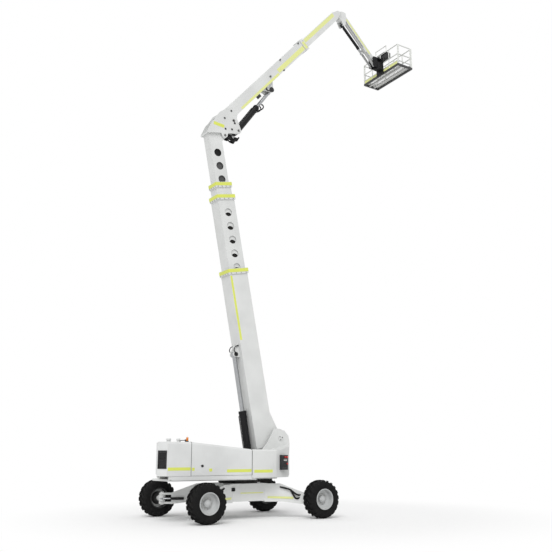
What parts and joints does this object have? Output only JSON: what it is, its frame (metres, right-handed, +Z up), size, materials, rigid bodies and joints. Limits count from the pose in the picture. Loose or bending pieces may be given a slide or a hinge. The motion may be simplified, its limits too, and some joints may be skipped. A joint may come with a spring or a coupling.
{
  "type": "articulating boom lift",
  "caption": "Wheeled articulating boom lift standing raised: telescoping tower on a slewing turntable, levelled head, telescoping main boom, parallelogram jib and a railed work platform.",
  "frame": {"origin": "centre of the box on the ground under the raised machine", "axes": "+X towards the platform, +Y to the left, +Z up"},
  "size_m": [10.776, 3.97, 19.7504],
  "materials": {
    "white_paint": "satin",
    "cast_weight": "painted",
    "hood_shell": "gloss",
    "black_paint": "satin",
    "bright_rod": "polished",
    "grey_paint": "satin",
    "rail_tube": "satin",
    "tyre_rubber": "matte",
    "engine_iron": "matte",
    "tank_paint": "satin",
    "black_plastic": "satin",
    "beacon_lens": "gloss"
  },
  "bodies": {
    "chassis": {"chassis_frame": "white_paint", "axle_legs": "white_paint", "slew_ring": "black_paint", "steer_barrels": "black_paint"},
    "turntable": {"turntable_frame": "white_paint", "counterweight": "cast_weight", "tail_covers": "hood_shell", "engine_block": "engine_iron", "fluid_tank": "tank_paint", "ground_controls": "black_plastic", "beacon": "beacon_lens"},
    "door_left": {"hood_door_left": "hood_shell"},
    "door_right": {"hood_door_right": "hood_shell"},
    "tower_base": {"tower_base": "white_paint"},
    "tower_mid_1": {"tower_mid_1": "white_paint"},
    "tower_mid_2": {"tower_mid_2": "white_paint"},
    "tower_fly": {"tower_fly": "white_paint"},
    "tower_barrel": {"tower_barrel": "black_paint"},
    "tower_rod": {"tower_rod": "bright_rod"},
    "head": {"upright_head": "white_paint"},
    "main_base": {"main_base": "white_paint"},
    "main_fly": {"main_fly": "white_paint"},
    "main_barrel": {"main_barrel": "black_paint"},
    "main_rod": {"main_rod": "bright_rod"},
    "jib_head": {"jib_head": "white_paint"},
    "jib_arm": {"jib_arm": "white_paint"},
    "jib_link": {"jib_link": "grey_paint"},
    "jib_barrel": {"jib_barrel": "black_paint"},
    "jib_rod": {"jib_rod": "bright_rod"},
    "platform_mount": {"platform_mount": "black_paint"},
    "platform": {"platform_bracket": "black_paint", "platform_floor": "grey_paint", "platform_rails": "rail_tube", "control_console": "black_plastic"},
    "gate": {"platform_gate": "rail_tube"},
    "knuckle_fl": {"knuckle_fl": "white_paint"},
    "wheel_fl": {"tyre_fl": "tyre_rubber", "rim_fl": "white_paint"},
    "steer_rod_fl": {"steer_rod_fl": "bright_rod"},
    "knuckle_fr": {"knuckle_fr": "white_paint"},
    "wheel_fr": {"tyre_fr": "tyre_rubber", "rim_fr": "white_paint"},
    "steer_rod_fr": {"steer_rod_fr": "bright_rod"},
    "knuckle_rl": {"knuckle_rl": "white_paint"},
    "wheel_rl": {"tyre_rl": "tyre_rubber", "rim_rl": "white_paint"},
    "steer_rod_rl": {"steer_rod_rl": "bright_rod"},
    "knuckle_rr": {"knuckle_rr": "white_paint"},
    "wheel_rr": {"tyre_rr": "tyre_rubber", "rim_rr": "white_paint"},
    "steer_rod_rr": {"steer_rod_rr": "bright_rod"}
  },
  "joints": [
    {"name": "slew", "type": "hinge", "parent": "chassis", "child": "turntable", "pos_m": [-2.10798, 0, 1.2], "axis": [0, 0, 1], "continuous": true},
    {"name": "steer_fl", "type": "hinge", "parent": "chassis", "child": "knuckle_fl", "pos_m": [-0.05798, 1.36, 0.59], "axis": [0, 0, 1], "range_deg": [-28, 28]},
    {"name": "wheel_fl_spin", "type": "hinge", "parent": "knuckle_fl", "child": "wheel_fl", "pos_m": [-0.05798, 1.75, 0.59], "axis": [0, 1, 0], "continuous": true},
    {"name": "steer_rod_fl_slide", "type": "slide", "parent": "chassis", "child": "steer_rod_fl", "axis": [0.8487, 0.529, 0], "range_m": [-0.1046, 0.1046]},
    {"name": "steer_fr", "type": "hinge", "parent": "chassis", "child": "knuckle_fr", "pos_m": [-0.05798, -1.36, 0.59], "axis": [0, 0, 1], "range_deg": [-28, 28]},
    {"name": "wheel_fr_spin", "type": "hinge", "parent": "knuckle_fr", "child": "wheel_fr", "pos_m": [-0.05798, -1.75, 0.59], "axis": [0, 1, 0], "continuous": true},
    {"name": "steer_rod_fr_slide", "type": "slide", "parent": "chassis", "child": "steer_rod_fr", "axis": [0.8487, -0.529, 0], "range_m": [-0.1046, 0.1046]},
    {"name": "steer_rl", "type": "hinge", "parent": "chassis", "child": "knuckle_rl", "pos_m": [-4.15798, 1.36, 0.59], "axis": [0, 0, 1], "range_deg": [-28, 28]},
    {"name": "wheel_rl_spin", "type": "hinge", "parent": "knuckle_rl", "child": "wheel_rl", "pos_m": [-4.15798, 1.75, 0.59], "axis": [0, 1, 0], "continuous": true},
    {"name": "steer_rod_rl_slide", "type": "slide", "parent": "chassis", "child": "steer_rod_rl", "axis": [-0.8487, 0.529, 0], "range_m": [-0.1046, 0.1046]},
    {"name": "steer_rr", "type": "hinge", "parent": "chassis", "child": "knuckle_rr", "pos_m": [-4.15798, -1.36, 0.59], "axis": [0, 0, 1], "range_deg": [-28, 28]},
    {"name": "wheel_rr_spin", "type": "hinge", "parent": "knuckle_rr", "child": "wheel_rr", "pos_m": [-4.15798, -1.75, 0.59], "axis": [0, 1, 0], "continuous": true},
    {"name": "steer_rod_rr_slide", "type": "slide", "parent": "chassis", "child": "steer_rod_rr", "axis": [-0.8487, -0.529, 0], "range_m": [-0.1046, 0.1046]},
    {"name": "door_left_open", "type": "hinge", "parent": "turntable", "child": "door_left", "pos_m": [-4.40798, 0.5, 2.34], "axis": [0.995, 0, -0.0995], "range_deg": [0, 65]},
    {"name": "door_right_open", "type": "hinge", "parent": "turntable", "child": "door_right", "pos_m": [-4.40798, -0.5, 2.34], "axis": [-0.995, 0, 0.0995], "range_deg": [0, 65]},
    {"name": "tower_lift", "type": "hinge", "parent": "turntable", "child": "tower_base", "pos_m": [-0.75798, 0, 2.5], "axis": [0, 1, 0], "range_deg": [-79, 0]},
    {"name": "tower_mid_1_slide", "type": "slide", "parent": "tower_base", "child": "tower_mid_1", "axis": [-0.1908, 0, 0.9816], "range_m": [-2.4, 1.5]},
    {"name": "tower_mid_2_slide", "type": "slide", "parent": "tower_mid_1", "child": "tower_mid_2", "axis": [-0.1908, 0, 0.9816], "range_m": [-0.25, 3.55]},
    {"name": "tower_fly_slide", "type": "slide", "parent": "tower_mid_2", "child": "tower_fly", "axis": [-0.1908, 0, 0.9816], "range_m": [-1.5, 2.4]},
    {"name": "head_level", "type": "hinge", "parent": "tower_fly", "child": "head", "pos_m": [-2.94524, 0, 12.91398], "axis": [0, 1, 0], "range_deg": [-1, 80]},
    {"name": "main_lift", "type": "hinge", "parent": "head", "child": "main_base", "pos_m": [-2.60825, 0, 13.54998], "axis": [0, -1, 0], "range_deg": [-49, 26]},
    {"name": "main_fly_slide", "type": "slide", "parent": "main_base", "child": "main_fly", "axis": [0.6561, 0, 0.7547], "range_m": [-2.25, 1.9]},
    {"name": "jib_level", "type": "hinge", "parent": "main_fly", "child": "jib_head", "pos_m": [2.2977, 0, 19.62042], "axis": [0, -1, 0], "range_deg": [-27, 50]},
    {"name": "jib_lift", "type": "hinge", "parent": "jib_head", "child": "jib_arm", "pos_m": [2.6277, 0, 19.68041], "axis": [0, 1, 0], "range_deg": [-116, 14]},
    {"name": "jib_link_turn", "type": "hinge", "parent": "jib_head", "child": "jib_link", "pos_m": [2.6277, 0, 19.34042], "axis": [0, 1, 0], "range_deg": [-117, 15]},
    {"name": "platform_level", "type": "hinge", "parent": "jib_arm", "child": "platform_mount", "pos_m": [4.14798, 0, 18.16014], "axis": [0, 1, 0], "range_deg": [-15, 117]},
    {"name": "platform_rotate", "type": "hinge", "parent": "platform_mount", "child": "platform", "pos_m": [4.33298, 0, 18.16014], "axis": [0, 0, 1], "range_deg": [-90, 90]},
    {"name": "gate_open", "type": "hinge", "parent": "platform", "child": "gate", "pos_m": [4.67298, -1.069, 17.61013], "axis": [0, 0, 1], "range_deg": [0, 90]},
    {"name": "tower_barrel_turn", "type": "hinge", "parent": "turntable", "child": "tower_barrel", "pos_m": [-1.62798, 0, 1.44], "axis": [0, 1, 0], "range_deg": [-79.33, 1]},
    {"name": "tower_rod_slide", "type": "slide", "parent": "tower_barrel", "child": "tower_rod", "axis": [-0.179, 0, 0.9838], "range_m": [-1.7542, 0.01]},
    {"name": "main_barrel_turn", "type": "hinge", "parent": "head", "child": "main_barrel", "pos_m": [-2.40524, 0, 13.21398], "axis": [0, -1, 0], "range_deg": [-48.48, 26.19]},
    {"name": "main_rod_slide", "type": "slide", "parent": "main_barrel", "child": "main_rod", "axis": [0.5823, 0, 0.813], "range_m": [-0.3153, 0.172]},
    {"name": "jib_barrel_turn", "type": "hinge", "parent": "jib_head", "child": "jib_barrel", "pos_m": [2.5977, 0, 19.20041], "axis": [0, 1, 0], "range_deg": [-114.68, 14.72]},
    {"name": "jib_rod_slide", "type": "slide", "parent": "jib_barrel", "child": "jib_rod", "axis": [0.7251, 0, -0.6886], "range_m": [-0.1077, 0.8198]}
  ],
  "couplings": [
    {"joint": "steer_rod_fl_slide", "follows": "steer_fl", "m_per_rad": 0.21},
    {"joint": "steer_fr", "follows": "steer_fl", "ratio": 1},
    {"joint": "steer_rod_fr_slide", "follows": "steer_fl", "m_per_rad": -0.21},
    {"joint": "steer_rod_rl_slide", "follows": "steer_rl", "m_per_rad": -0.21},
    {"joint": "steer_rr", "follows": "steer_rl", "ratio": 1},
    {"joint": "steer_rod_rr_slide", "follows": "steer_rl", "m_per_rad": 0.21},
    {"joint": "head_level", "follows": "tower_lift", "ratio": -1},
    {"joint": "jib_level", "follows": "main_lift", "ratio": -1},
    {"joint": "jib_link_turn", "follows": "jib_lift", "ratio": 1},
    {"joint": "platform_level", "follows": "jib_lift", "ratio": -1},
    {"joint": "tower_barrel_turn", "follows": "tower_lift", "ratio": 0.99154},
    {"joint": "tower_rod_slide", "follows": "tower_lift", "m_per_rad": 1.265},
    {"joint": "main_barrel_turn", "follows": "main_lift", "ratio": 0.969},
    {"joint": "main_rod_slide", "follows": "main_lift", "m_per_rad": 0.357},
    {"joint": "jib_barrel_turn", "follows": "jib_lift", "ratio": 0.98},
    {"joint": "jib_rod_slide", "follows": "jib_lift", "m_per_rad": -0.4}
  ]
}
